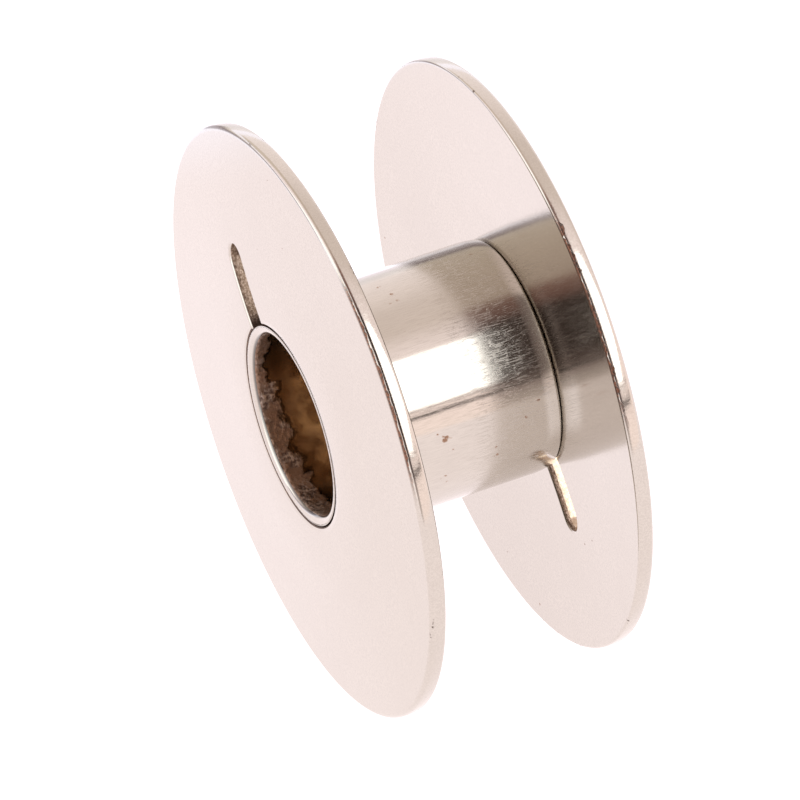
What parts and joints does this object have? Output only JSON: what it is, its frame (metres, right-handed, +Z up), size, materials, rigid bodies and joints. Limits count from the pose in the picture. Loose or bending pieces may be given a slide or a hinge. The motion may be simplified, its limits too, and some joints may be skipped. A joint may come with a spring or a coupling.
{
  "type": "sewing machine bobbin",
  "caption": "Nickel-plated steel thread bobbin: slotted round flanges riveted on a tubular hub with a plain through bore.",
  "frame": {"origin": "centre of the bobbin, on its axis and midway between its ends", "axes": "+Y along the bore's axis from the front flange to the back flange, +Z up with the bobbin standing on its rims"},
  "size_m": [0.021, 0.0088, 0.021],
  "materials": {
    "hub_plate": "bright nickel plate on a turned surface, lightly brushed along the axis, with a few brown specks",
    "flange_plate": "bright nickel plate on stamped sheet, fine-grained faces and bright edges"
  },
  "bodies": {
    "root": {"hub": "hub_plate", "front_flange": "flange_plate", "back_flange": "flange_plate"}
  },
  "joints": []
}
